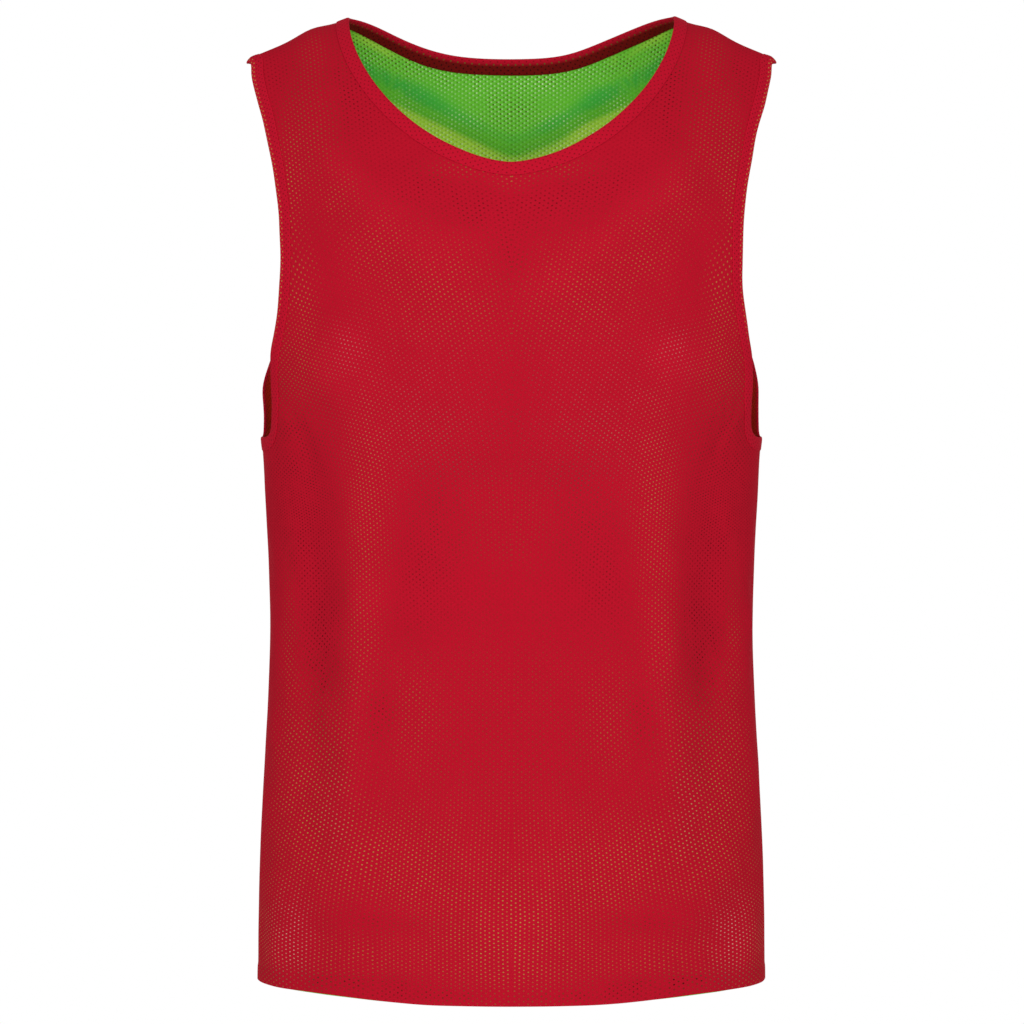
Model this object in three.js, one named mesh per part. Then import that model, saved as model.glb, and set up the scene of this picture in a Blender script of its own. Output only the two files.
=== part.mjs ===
// A reversible sleeveless training bib, filled out as if worn. A red mesh front and back lie over
// a green mesh front and back, and red bindings fold over the neck and the two armholes.
// Millimetres, +Z up, +X to the viewer's right, front towards -Y. The origin lies midway between
// the two shoulders, where a wearer holds the bib up.
import * as THREE from 'three';
import { mergeVertices } from 'three/addons/utils/BufferGeometryUtils.js';

// Driving dimensions. A level is measured down from the highest point of the shoulders.
const neckPointHeight = 20;
const wall = 1;
const gap = 0.3;
const neckHalfWidth = 121.8;
const frontNeckDrop = 120.8;
const frontNeckPower = 1.7;
const backNeckDrop = 55;
const backNeckPower = 1.35;
const shoulderTip = 195.6;
const underarmLevel = 315;
const hemLevel = 724;
const hemLift = 4.2;
const hemTurnUp = 10;
const hemStep = 1.5;
const hemExtra = 0.8;
const innerHemDrop = 1;
const bindingWidth = 10;

// Offsets from the middle surface, which lies between the two layers of mesh.
const layerInside = gap / 2;
const layerOutside = layerInside + wall;
const bindingInside = layerOutside + gap;
const bindingOutside = bindingInside + wall;
const bindingRound = 1.2;
const bindingReach = 2.4;

// Half width, and depth to the front and to the back, of the body of the bib at each level.
const sections = [
  { level: -40, halfWidth: 202, front: 108, back: 98 },
  { level: 0, halfWidth: 205, front: 112, back: 101 },
  { level: 60, halfWidth: 209, front: 117, back: 105 },
  { level: 130, halfWidth: 210, front: 122, back: 109 },
  { level: 190, halfWidth: 208, front: 124, back: 109 },
  { level: 250, halfWidth: 198, front: 124, back: 107 },
  { level: 315, halfWidth: 187.5, front: 120, back: 103 },
  { level: 360, halfWidth: 184.6, front: 115.5, back: 98 },
  { level: 407, halfWidth: 182.2, front: 112.5, back: 93 },
  { level: 460, halfWidth: 180.9, front: 111, back: 89 },
  { level: 512, halfWidth: 182.6, front: 111.5, back: 89 },
  { level: 561, halfWidth: 185.3, front: 113.5, back: 91 },
  { level: 610, halfWidth: 187.8, front: 116, back: 94.5 },
  { level: 660, halfWidth: 189.4, front: 119, back: 98.5 },
  { level: 730, halfWidth: 190, front: 122, back: 102 },
];

// Armhole edges seen from the front: how far across the edge lies at each level.
const frontArmhole = [
  { level: 37, across: 196.2 },
  { level: 47, across: 195.2 },
  { level: 67, across: 189.8 },
  { level: 84, across: 184.8 },
  { level: 105, across: 179.8 },
  { level: 130, across: 175 },
  { level: 160, across: 171.4 },
  { level: 187, across: 170.2 },
  { level: 212, across: 171.2 },
  { level: 240, across: 175 },
  { level: 258, across: 178.6 },
  { level: 274, across: 179.4 },
  { level: 290, across: 178 },
  { level: 302, across: 178.4 },
  { level: 310, across: 179.6 },
  { level: 314.6, across: 182.2 },
  { level: 316, across: 185.8 },
];
const backArmhole = [
  { level: 36, across: 196.3 },
  { level: 46, across: 194.6 },
  { level: 67, across: 189.6 },
  { level: 100, across: 183 },
  { level: 148, across: 177.4 },
  { level: 187, across: 176 },
  { level: 220, across: 178.2 },
  { level: 242, across: 182 },
  { level: 260, across: 186.4 },
  { level: 277, across: 189.2 },
  { level: 292, across: 188.8 },
  { level: 304, across: 188.4 },
  { level: 312, across: 188.4 },
];

// Soft folds: where each starts and ends (turn in degrees from the centre line, and level), half
// its width and how far it stands out. Each fold is repeated on the other half.
const frontFolds = [
  { fromTurn: 53, fromLevel: 330, toTurn: 52, toLevel: 600, width: 24, rise: -4.5 },
  { fromTurn: 36, fromLevel: 300, toTurn: 39, toLevel: 630, width: 22, rise: 2.2 },
  { fromTurn: 74, fromLevel: 360, toTurn: 72, toLevel: 640, width: 18, rise: 1.6 },
  { fromTurn: 44, fromLevel: 95, toTurn: 6, toLevel: 215, width: 19, rise: 2.4 },
  { fromTurn: 47, fromLevel: 150, toTurn: 8, toLevel: 262, width: 17, rise: -2 },
  { fromTurn: 50, fromLevel: 258, toTurn: 26, toLevel: 268, width: 24, rise: 2.8 },
  { fromTurn: 34, fromLevel: 340, toTurn: -34, toLevel: 340, width: 32, rise: -1.6 },
  { fromTurn: 52, fromLevel: 672, toTurn: 20, toLevel: 650, width: 14, rise: 1.6 },
  { fromTurn: 12, fromLevel: 560, toTurn: 3, toLevel: 705, width: 20, rise: 1.8 },
];
const backFolds = [
  { fromTurn: 34, fromLevel: 30, toTurn: 3, toLevel: 128, width: 17, rise: -3.4 },
  { fromTurn: 48, fromLevel: 60, toTurn: 12, toLevel: 175, width: 20, rise: 3 },
  { fromTurn: 0, fromLevel: 90, toTurn: 0, toLevel: 330, width: 22, rise: -3 },
  { fromTurn: 56, fromLevel: 330, toTurn: 50, toLevel: 600, width: 24, rise: -4 },
  { fromTurn: 30, fromLevel: 380, toTurn: 36, toLevel: 660, width: 24, rise: 2.6 },
  { fromTurn: 60, fromLevel: 300, toTurn: 24, toLevel: 380, width: 20, rise: 2 },
  { fromTurn: 40, fromLevel: 690, toTurn: 14, toLevel: 640, width: 16, rise: 1.8 },
];

const neckLifts = {
  left: { rise: 1.8, from: 104, width: 18 },
  right: { rise: 7.5, from: 82, width: 34 },
};

// The two sides. The roll is the height over which the cloth turns over the shoulder.
const front = {
  towards: -1, depth: 'front', roll: 230, liftRun: 30,
  folds: frontFolds, armhole: frontArmhole, underarm: 46,
};
const back = {
  towards: 1, depth: 'back', roll: 165, liftRun: 180,
  folds: backFolds, armhole: backArmhole, underarm: 34,
};

// Cells of the grid on one half of a panel. The neck edge turns from a row into a column of the
// grid at its corner cell, and so does the armhole edge.
const centreCells = 4;
const strapCells = 4;
const sideCells = 3;
const bodyRows = 11;
const chestRows = 7;
const shoulderRows = 5;
const hemRow = 2;
const neckColumn = centreCells;
const armColumn = neckColumn + 1 + strapCells + 1;
const lastColumn = armColumn + sideCells;
const armRow = hemRow + bodyRows + 1;
const neckRow = armRow + chestRows;
const topRow = neckRow + shoulderRows;
const cornerStep = 8;
const clothRadius = 165;
const quarterTurn = Math.PI / 2;
const samples = 240;
const relaxSteps = 400;
const small = 1e-3;

// A smooth curve through the rows of a table, read at a level.
function readTable(rows, column, level) {
  const last = rows.length - 1;
  const at = THREE.MathUtils.clamp(level, rows[0].level, rows[last].level);
  let i = 0;
  while (i < last - 1 && rows[i + 1].level < at) i += 1;
  const slope = (a, b) => (rows[b][column] - rows[a][column]) / (rows[b].level - rows[a].level);
  const step = rows[i + 1].level - rows[i].level;
  const startSlope = slope(Math.max(i - 1, 0), i + 1) * step;
  const endSlope = slope(i, Math.min(i + 2, last)) * step;
  const t = (at - rows[i].level) / step;
  const start = rows[i][column];
  const end = rows[i + 1][column];
  return start * (2 * t ** 3 - 3 * t ** 2 + 1) + startSlope * (t ** 3 - 2 * t ** 2 + t)
    + end * (3 * t ** 2 - 2 * t ** 3) + endSlope * (t ** 3 - t ** 2);
}

function halfWidth(level) {
  return readTable(sections, 'halfWidth', level) - layerOutside;
}

// Level of the top of the shoulders. It carries on in a smooth arch over the neck opening.
function shoulderLevel(across) {
  const x = Math.abs(across);
  const swell = 3.4 * Math.exp(-(((x - 150) / 14) ** 2));
  const droop = 0.1 * Math.max(0, x - 193) ** 2;
  return 0.4 * (Math.hypot(x, 40) - 124.6) + layerOutside - swell + droop;
}

// The cloth stands a little higher beside the neck, and more so on the right.
function neckLift(side, across, drop) {
  const { rise, from, width } = neckLifts[across > 0 ? 'right' : 'left'];
  return rise * Math.exp(-(((Math.abs(across) - from) / width) ** 2) - drop / side.liftRun);
}

// A place on the middle surface is given by its turn round the body, from the centre line to
// the side seam, and its drop, the way along the cloth from the top of the shoulder.
function levelBelowShoulder(side, drop) {
  const flat = side.roll * quarterTurn;
  if (drop > flat) return side.roll + drop - flat;
  return side.roll * (1 - Math.cos(drop / side.roll));
}

function dropFor(side, across, level) {
  const below = Math.max(0, level - shoulderLevel(across));
  if (below > side.roll) return below - side.roll + side.roll * quarterTurn;
  return side.roll * Math.acos(1 - below / side.roll);
}

function placeFor(side, across, level) {
  const ratio = Math.min(1, across / halfWidth(level));
  return { turn: Math.asin(ratio), drop: dropFor(side, across, level) };
}

function smoothPoint(side, turn, drop) {
  let across = halfWidth(0) * Math.sin(turn);
  let level = 0;
  for (let i = 0; i < 6; i += 1) {
    level = shoulderLevel(across) + levelBelowShoulder(side, drop);
    across = halfWidth(level) * Math.sin(turn);
  }
  level -= neckLift(side, across, Math.abs(drop));
  const rolled = drop < side.roll * quarterTurn ? Math.sin(drop / side.roll) : 1;
  const depth = readTable(sections, side.depth, level) - layerOutside;
  const forward = side.towards * depth * Math.cos(turn) * rolled;
  return new THREE.Vector3(across, forward, neckPointHeight - level);
}

// The unit normal of a surface given by a function of turn and drop, pointing out of the bib.
function normalOf(pointAt, side, turn, drop) {
  const round = pointAt(side, turn + small, drop).sub(pointAt(side, turn - small, drop));
  const down = pointAt(side, turn, drop + 0.1).sub(pointAt(side, turn, drop - 0.1));
  return round.cross(down).multiplyScalar(side.towards).normalize();
}

// How far the folds stand out at a place. They fade towards the seams.
function foldRise(side, turn, level) {
  const fromSeam = (quarterTurn - Math.abs(turn)) / 0.22;
  const fade = THREE.MathUtils.smoothstep(fromSeam, 0, 1)
    * THREE.MathUtils.smoothstep(level, 5, 60);
  let rise = 0;
  for (const half of [-1, 1]) {
    const around = THREE.MathUtils.radToDeg(turn * half);
    for (const fold of side.folds) {
      const scale = THREE.MathUtils.degToRad(clothRadius);
      const runAround = (fold.toTurn - fold.fromTurn) * scale;
      const runDown = fold.toLevel - fold.fromLevel;
      const around0 = (around - fold.fromTurn) * scale;
      const down0 = level - fold.fromLevel;
      const length2 = runAround ** 2 + runDown ** 2;
      const t = THREE.MathUtils.clamp((around0 * runAround + down0 * runDown) / length2, 0, 1);
      const away = Math.hypot(around0 - t * runAround, down0 - t * runDown);
      const ends = 0.35 + 0.65 * Math.sin(Math.PI * t);
      rise += fold.rise * ends * Math.exp(-((away / fold.width) ** 2));
    }
  }
  return rise * fade;
}

function foldedPoint(side, turn, drop) {
  const point = smoothPoint(side, turn, drop);
  const rise = foldRise(side, turn, neckPointHeight - point.z);
  return point.addScaledVector(normalOf(smoothPoint, side, turn, drop), rise);
}

// An edge is a dense run of places, with the distance along the cloth to each.
function measuredEdge(side, places) {
  let length = 0;
  let before = null;
  return places.map((place) => {
    const point = smoothPoint(side, place.turn, place.drop);
    if (before) length += point.distanceTo(before);
    before = point;
    return { ...place, length };
  });
}

function neckEdge(side) {
  const places = [];
  for (let i = 0; i <= samples; i += 1) {
    const angle = (quarterTurn * i) / samples;
    const cosine = i === samples ? 0 : Math.cos(angle);
    if (side === front) {
      const across = neckHalfWidth * Math.sin(angle) ** (2 / frontNeckPower);
      const start = shoulderLevel(neckHalfWidth);
      const level = start + (frontNeckDrop - start) * cosine ** (2 / frontNeckPower);
      places.push(placeFor(side, across, level));
    } else {
      const across = neckHalfWidth * Math.sin(angle);
      const below = backNeckDrop * cosine ** (2 * backNeckPower);
      places.push(placeFor(side, across, shoulderLevel(across) + below));
    }
  }
  return measuredEdge(side, places);
}

// From the underarm up to the shoulder tip. A mirrored point past each end keeps the edge
// square to the seam there.
function armholeEdge(side) {
  const tip = placeFor(side, shoulderTip, 0);
  const rows = side.armhole.map((row) => placeFor(side, row.across - bindingReach, row.level));
  const under = { turn: quarterTurn, drop: dropFor(side, halfWidth(underarmLevel), underarmLevel) };
  const beyondTip = { turn: rows[0].turn, drop: -rows[0].drop };
  const last = rows[rows.length - 1];
  const beyondUnder = { turn: Math.PI - last.turn, drop: last.drop };
  const places = [beyondTip, tip, ...rows, under, beyondUnder].reverse();
  const points = places.map((place) => new THREE.Vector3(place.turn * clothRadius, place.drop, 0));
  const curve = new THREE.CatmullRomCurve3(points, false, 'centripetal');
  const spans = points.length - 1;
  const run = [];
  for (let i = 0; i <= samples; i += 1) {
    const point = curve.getPoint((1 + ((spans - 2) * i) / samples) / spans);
    run.push({ turn: point.x / clothRadius, drop: point.y });
  }
  run[0] = under;
  run[samples] = tip;
  return measuredEdge(side, run);
}

function placeAlong(edge, length) {
  const end = edge.length - 1;
  const at = THREE.MathUtils.clamp(length, 0, edge[end].length);
  let i = 0;
  while (i < end - 1 && edge[i + 1].length < at) i += 1;
  const t = (at - edge[i].length) / (edge[i + 1].length - edge[i].length);
  return {
    turn: THREE.MathUtils.lerp(edge[i].turn, edge[i + 1].turn, t),
    drop: THREE.MathUtils.lerp(edge[i].drop, edge[i + 1].drop, t),
  };
}

// The place a binding's width inside an edge, found by short steps square to the edge.
function placeInside(side, edge, length) {
  const place = placeAlong(edge, length);
  const nearby = (shift) => {
    const other = placeAlong(edge, length + shift);
    return smoothPoint(side, other.turn, other.drop);
  };
  const tangent = nearby(1).sub(nearby(-1)).normalize();
  const ahead = placeAlong(edge, length + 1);
  const behind = placeAlong(edge, length - 1);
  const steps = 5;
  for (let i = 0; i < steps; i += 1) {
    const { turn, drop } = place;
    const round = smoothPoint(side, turn + small, drop)
      .sub(smoothPoint(side, turn - small, drop)).divideScalar(2 * small);
    const down = smoothPoint(side, turn, drop + 0.1)
      .sub(smoothPoint(side, turn, drop - 0.1)).divideScalar(0.2);
    const inwards = round.clone().cross(down).cross(tangent).normalize();
    const [a, b, c] = [round.dot(round), round.dot(down), down.dot(down)];
    const [p, q] = [inwards.dot(round), inwards.dot(down)];
    const step = bindingWidth / steps / (a * c - b * b);
    const addTurn = step * (p * c - q * b);
    const addDrop = step * (q * a - p * b);
    const across = (ahead.turn - behind.turn) * addDrop - (ahead.drop - behind.drop) * addTurn;
    const sense = Math.sign(across) * edge.clothSide;
    place.turn += sense * addTurn;
    place.drop += sense * addDrop;
  }
  return place;
}

// The grid of one half of a panel. Edges and the lines inside them are fixed, and the places
// between them are evened out by repeated averaging.
function layOut(side) {
  const neck = neckEdge(side);
  const arm = armholeEdge(side);
  neck.clothSide = 1;
  arm.clothSide = -1;
  const grid = [];
  const fixed = [];
  for (let i = 0; i <= lastColumn; i += 1) {
    grid.push([]);
    fixed.push([]);
  }
  const inGrid = (i, j) => (i >= neckColumn || j <= neckRow) && (i <= armColumn || j <= armRow);
  const fix = (i, j, place) => {
    grid[i][j] = place;
    fixed[i][j] = true;
  };

  const neckLength = neck[samples].length;
  const neckCorner = neckLength * 0.46;
  for (let i = 0; i <= neckColumn; i += 1) {
    const length = (neckCorner * i) / neckColumn;
    fix(i, neckRow, placeAlong(neck, length));
    fix(i, neckRow - 1, placeInside(side, neck, i === neckColumn ? length - cornerStep : length));
  }
  for (let j = neckRow; j <= topRow; j += 1) {
    const length = neckCorner + ((neckLength - neckCorner) * (j - neckRow)) / shoulderRows;
    if (j > neckRow) fix(neckColumn, j, placeAlong(neck, length));
    fix(neckColumn + 1, j, placeInside(side, neck, j === neckRow ? length + cornerStep : length));
  }
  fix(neckColumn + 1, neckRow - 1, placeInside(side, neck, neckCorner));

  const armLength = arm[samples].length;
  const armCorner = side.underarm;
  for (let i = armColumn; i <= lastColumn; i += 1) {
    const length = (armCorner * (lastColumn - i)) / sideCells;
    fix(i, armRow, placeAlong(arm, length));
    fix(i, armRow - 1, placeInside(side, arm, i === armColumn ? length - cornerStep : length));
  }
  for (let j = armRow; j <= topRow; j += 1) {
    const length = armCorner + ((armLength - armCorner) * (j - armRow)) / (topRow - armRow);
    if (j > armRow) fix(armColumn, j, placeAlong(arm, length));
    fix(armColumn - 1, j, placeInside(side, arm, j === armRow ? length + cornerStep : length));
  }
  fix(armColumn - 1, armRow - 1, placeInside(side, arm, armCorner));

  const hemHeights = [0, hemTurnUp, hemTurnUp + hemStep];
  for (let i = 0; i <= lastColumn; i += 1) {
    const turn = (quarterTurn * i) / lastColumn;
    for (let j = 0; j <= hemRow; j += 1) {
      const lift = hemLift * THREE.MathUtils.smoothstep(turn, 0.25, 0.9);
      const level = hemLevel - lift - hemHeights[j];
      const across = halfWidth(level) * Math.sin(turn);
      fix(i, j, { turn, drop: dropFor(side, across, level) });
    }
  }
  const spread = (column, row) => {
    const low = grid[column][hemRow];
    const high = grid[column][row];
    for (let j = hemRow + 1; j < row; j += 1) {
      const t = (j - hemRow) / (row - hemRow);
      const turn = THREE.MathUtils.lerp(low.turn, high.turn, t);
      fix(column, j, { turn, drop: THREE.MathUtils.lerp(low.drop, high.drop, t) });
    }
  };
  spread(0, neckRow - 1);
  spread(lastColumn, armRow - 1);
  for (let i = neckColumn + 2; i < armColumn - 1; i += 1) {
    const t = (i - neckColumn - 1) / strapCells;
    const turn = THREE.MathUtils.lerp(
      grid[neckColumn + 1][topRow].turn, grid[armColumn - 1][topRow].turn, t);
    fix(i, topRow, { turn, drop: 0 });
  }
  for (const j of [neckRow - 1, neckRow]) grid[0][j].turn = 0;
  for (const j of [armRow - 1, armRow]) grid[lastColumn][j].turn = quarterTurn;
  for (const i of [neckColumn, neckColumn + 1, armColumn - 1, armColumn]) {
    grid[i][topRow].drop = 0;
  }

  const free = [];
  for (let i = 1; i < lastColumn; i += 1) {
    for (let j = hemRow + 1; j < topRow; j += 1) {
      if (!inGrid(i, j) || fixed[i][j]) continue;
      const t = (j - hemRow) / (topRow - hemRow);
      grid[i][j] = { turn: (quarterTurn * i) / lastColumn, drop: grid[i][hemRow].drop * (1 - t) };
      free.push([i, j]);
    }
  }
  for (let step = 0; step < relaxSteps; step += 1) {
    for (const [i, j] of free) {
      const around = [grid[i - 1][j], grid[i + 1][j], grid[i][j - 1], grid[i][j + 1]];
      grid[i][j].turn = around.reduce((sum, place) => sum + place.turn, 0) / 4;
      grid[i][j].drop = around.reduce((sum, place) => sum + place.drop, 0) / 4;
    }
  }
  return { side, grid, inGrid };
}

// A panel is the laid-out half, repeated on the other half: points of the middle surface, with
// normals, and cells.
function makePanel(side) {
  const { grid, inGrid } = layOut(side);
  const seamShift = (side.towards * gap) / 2;
  const vertices = [];
  const at = new Map();
  for (let i = -lastColumn; i <= lastColumn; i += 1) {
    for (let j = 0; j <= topRow; j += 1) {
      const column = Math.abs(i);
      if (!inGrid(column, j)) continue;
      const half = Math.sign(i) || 1;
      const { drop } = grid[column][j];
      const turn = grid[column][j].turn * half;
      const point = foldedPoint(side, turn, drop);
      const normal = normalOf(foldedPoint, side, turn, drop);
      if (column === lastColumn || j === topRow) {
        point.y = 0;
        normal.y = 0;
      }
      point.y += seamShift;
      at.set(`${i},${j}`, vertices.length);
      vertices.push({ point, normal: normal.normalize(), row: j });
    }
  }
  const cells = [];
  for (let i = -lastColumn; i < lastColumn; i += 1) {
    for (let j = 0; j < topRow; j += 1) {
      const inner = Math.max(Math.abs(i), Math.abs(i + 1));
      const outer = Math.min(Math.abs(i), Math.abs(i + 1));
      const inside = outer >= neckColumn || j < neckRow;
      if (!inside || (inner > armColumn && j >= armRow)) continue;
      const corner = (di, dj) => at.get(`${i + di},${j + dj}`);
      cells.push([corner(0, 0), corner(1, 0), corner(1, 1), corner(0, 1)]);
    }
  }
  return { side, vertices, cells, at };
}

// A cell of four corners is split along its shorter diagonal.
function splitCell([a, b, c, d], points) {
  const firstWay = points[a].distanceTo(points[c]);
  if (firstWay <= points[b].distanceTo(points[d])) return [[a, b, c], [a, c, d]];
  return [[a, b, d], [b, c, d]];
}

function closedGeometry(points, triangles) {
  const geometry = new THREE.BufferGeometry();
  const numbers = points.flatMap((point) => [point.x, point.y, point.z]);
  geometry.setAttribute('position', new THREE.Float32BufferAttribute(numbers, 3));
  geometry.setIndex(triangles.flat());
  return geometry;
}

// One layer of mesh: the panel's cells moved out to two offsets, closed by a rim.
function layerGeometry(panel, outerOffset, innerOffset, bottomDrop) {
  const { side, vertices, cells } = panel;
  const points = [];
  for (const offset of [outerOffset, innerOffset]) {
    for (const { point, normal, row } of vertices) {
      const moved = point.clone().addScaledVector(normal, offset(row));
      if (row === 0) moved.z -= bottomDrop;
      points.push(moved);
    }
  }
  const count = vertices.length;
  const middle = vertices.map(({ point }) => point);
  const faces = [];
  const open = new Map();
  for (const cell of cells) {
    for (const [a, b, c] of splitCell(cell, middle)) {
      faces.push([a, b, c], [c + count, b + count, a + count]);
    }
    for (let k = 0; k < 4; k += 1) {
      const [from, to] = [cell[k], cell[(k + 1) % 4]];
      if (!open.delete(`${to},${from}`)) open.set(`${from},${to}`, [from, to]);
    }
  }
  for (const [from, to] of open.values()) {
    faces.push([from, from + count, to + count], [from, to + count, to]);
  }
  const triangles = side.towards < 0 ? faces : faces.map(([a, b, c]) => [c, b, a]);
  return closedGeometry(points, triangles);
}

// The stations of a binding along one panel: the edge vertex and the vertex inside it. A corner
// cell gives three stations that share one edge vertex.
function neckStations(panel, half) {
  const stations = [];
  const add = (edge, inside) => stations.push([
    panel.vertices[panel.at.get(`${edge[0] * half},${edge[1]}`)],
    panel.vertices[panel.at.get(`${inside[0] * half},${inside[1]}`)],
  ]);
  for (let i = 0; i <= neckColumn; i += 1) add([i, neckRow], [i, neckRow - 1]);
  add([neckColumn, neckRow], [neckColumn + 1, neckRow - 1]);
  for (let j = neckRow; j <= topRow; j += 1) add([neckColumn, j], [neckColumn + 1, j]);
  return stations;
}

function armholeStations(panel, half) {
  const stations = [];
  const add = (edge, inside) => stations.push([
    panel.vertices[panel.at.get(`${edge[0] * half},${edge[1]}`)],
    panel.vertices[panel.at.get(`${inside[0] * half},${inside[1]}`)],
  ]);
  for (let i = lastColumn; i >= armColumn; i -= 1) add([i, armRow], [i, armRow - 1]);
  add([armColumn, armRow], [armColumn - 1, armRow - 1]);
  for (let j = armRow; j <= topRow; j += 1) add([armColumn, j], [armColumn - 1, j]);
  return stations;
}

// Stations that meet at a seam become one, on the seam itself.
function onSeam(station) {
  return station.map(({ point, normal }) => ({ point: point.clone().setY(0), normal }));
}

function joinAtSeam(first, second) {
  return [...first.slice(0, -1), onSeam(first[first.length - 1]), ...second.slice(1)];
}

// A binding folds over the edge: its section runs down the outer leaf, round the edge and up
// the inner leaf, and back along the inner faces.
function bindingGeometry(stations) {
  const count = stations.length;
  const rings = stations.map(([edge, inside], k) => {
    const before = stations[(k + count - 1) % count][0].point;
    const after = stations[(k + 1) % count][0].point;
    let [from, to] = [before, after];
    if (from.distanceTo(edge.point) < small) from = stations[(k + count - 2) % count][0].point;
    if (to.distanceTo(edge.point) < small) to = stations[(k + 2) % count][0].point;
    const tangent = to.clone().sub(from).normalize();
    const outwards = tangent.cross(edge.normal).normalize();
    if (outwards.dot(edge.point.clone().sub(inside.point)) < 0) outwards.negate();
    const atEdge = (out, up) => edge.point.clone()
      .addScaledVector(outwards, out).addScaledVector(edge.normal, up);
    const atInside = (up) => inside.point.clone().addScaledVector(inside.normal, up);
    return [
      atInside(bindingOutside), atEdge(gap, bindingOutside), atEdge(gap + wall, bindingRound),
      atEdge(gap + wall, -bindingRound), atEdge(gap, -bindingOutside), atInside(-bindingOutside),
      atInside(-bindingInside), atEdge(0, -bindingInside), atEdge(gap, -bindingInside),
      atEdge(gap, bindingInside), atEdge(0, bindingInside), atInside(bindingInside),
    ];
  });
  const size = rings[0].length;
  const points = rings.flat();
  const triangles = [];
  for (let k = 0; k < count; k += 1) {
    const next = (k + 1) % count;
    for (let m = 0; m < size; m += 1) {
      const beside = (m + 1) % size;
      const cell = [k * size + m, k * size + beside, next * size + beside, next * size + m];
      triangles.push(...splitCell(cell, points));
    }
  }
  const merged = mergeVertices(closedGeometry(points, triangles), small);
  const index = Array.from(merged.index.array);
  const kept = [];
  for (let k = 0; k < index.length; k += 3) {
    const [a, b, c] = index.slice(k, k + 3);
    if (a !== b && b !== c && c !== a) kept.push(a, b, c);
  }
  merged.setIndex(kept);
  return facingOut(merged);
}

// Every face is turned over when the enclosed volume comes out negative.
function facingOut(geometry) {
  const position = geometry.attributes.position;
  const index = Array.from(geometry.index.array);
  const [p, q, r] = [new THREE.Vector3(), new THREE.Vector3(), new THREE.Vector3()];
  let volume = 0;
  for (let k = 0; k < index.length; k += 3) {
    p.fromBufferAttribute(position, index[k]);
    q.fromBufferAttribute(position, index[k + 1]);
    r.fromBufferAttribute(position, index[k + 2]);
    volume += p.dot(q.cross(r));
  }
  if (volume < 0) geometry.setIndex(index.reverse());
  return geometry;
}

const redMesh = { color: 0xb41c2c, roughness: 0.85, metalness: 0 };
const greenMesh = { color: 0x55a83a, roughness: 0.85, metalness: 0 };
const redBinding = { color: 0xc2152f, roughness: 0.8, metalness: 0 };

const bib = new THREE.Group();
function addPiece(name, geometry, finish) {
  const piece = new THREE.Mesh(geometry, new THREE.MeshStandardMaterial(finish));
  piece.name = name;
  bib.add(piece);
}

const inHem = (row) => row < hemRow;
const redOutside = (row) => layerOutside + (inHem(row) ? hemExtra : 0);
const greenInside = (row) => -layerOutside - (inHem(row) ? hemExtra : 0);
const frontPanel = makePanel(front);
const backPanel = makePanel(back);
for (const [name, panel] of [['front', frontPanel], ['back', backPanel]]) {
  addPiece(`${name}_red`, layerGeometry(panel, redOutside, () => layerInside, 0), redMesh);
  addPiece(`${name}_green`,
    layerGeometry(panel, () => -layerInside, greenInside, innerHemDrop), greenMesh);
}

function aroundOpening(stationsOf, half) {
  const up = stationsOf(frontPanel, half);
  const down = stationsOf(backPanel, half).reverse();
  return joinAtSeam(up, down);
}

const rightNeck = aroundOpening(neckStations, 1);
const leftNeck = aroundOpening(neckStations, -1).reverse();
addPiece('neck_band', bindingGeometry([...rightNeck, ...leftNeck.slice(1, -1)]), redBinding);
for (const [name, half] of [['left', -1], ['right', 1]]) {
  const ring = aroundOpening(armholeStations, half);
  ring[0] = onSeam(ring[0]);
  addPiece(`armhole_band_${name}`, bindingGeometry(ring.slice(0, -1)), redBinding);
}

export default bib;
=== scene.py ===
import bpy
import math
import numpy as np
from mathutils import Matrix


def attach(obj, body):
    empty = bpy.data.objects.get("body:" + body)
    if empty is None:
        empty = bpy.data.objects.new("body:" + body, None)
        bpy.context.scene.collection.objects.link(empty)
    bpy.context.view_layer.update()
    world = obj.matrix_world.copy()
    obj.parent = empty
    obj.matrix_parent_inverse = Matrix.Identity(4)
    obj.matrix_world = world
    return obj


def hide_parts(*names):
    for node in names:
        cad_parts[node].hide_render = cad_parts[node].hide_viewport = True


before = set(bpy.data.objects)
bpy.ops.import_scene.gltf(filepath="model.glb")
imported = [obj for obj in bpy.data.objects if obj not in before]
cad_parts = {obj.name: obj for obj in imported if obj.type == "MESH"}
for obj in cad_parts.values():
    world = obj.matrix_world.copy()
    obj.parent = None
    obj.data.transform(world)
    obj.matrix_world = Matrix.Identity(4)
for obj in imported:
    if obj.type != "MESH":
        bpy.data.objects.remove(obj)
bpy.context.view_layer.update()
print("frame loaded")

# Reversible training bib, filled out as if worn: red eyelet mesh outside, green eyelet mesh inside,
# red bindings round the neck and the armholes. Shapes are worked out in millimetres, with levels
# measured down from the top of the shoulders, and meshes are written in metres.
millimetre = 0.001
quarterTurn = math.pi / 2

bibShape = {
    "neckPointHeight": 20,      # the top of the shoulders above the origin
    "clothWall": 0.65,          # from the surface between the two layers to the outside
    "layerMiddle": 0.5,         # from that surface to the middle of each layer
    "hemLevel": 724,
    "hemLift": 4.2,             # the hem rises a little towards the sides
    "underarmLevel": 315,
    "armholeReach": 2.4,        # the armhole edge lies this far inside its binding's edge
    "tipAcross": 195.6,         # where the armhole meets the shoulder seam
    "clothRadius": 165,         # turns a turn round the body into millimetres, roughly
    "rounds": 6,                # rounds until the level of a place on the cloth settles
}

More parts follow.
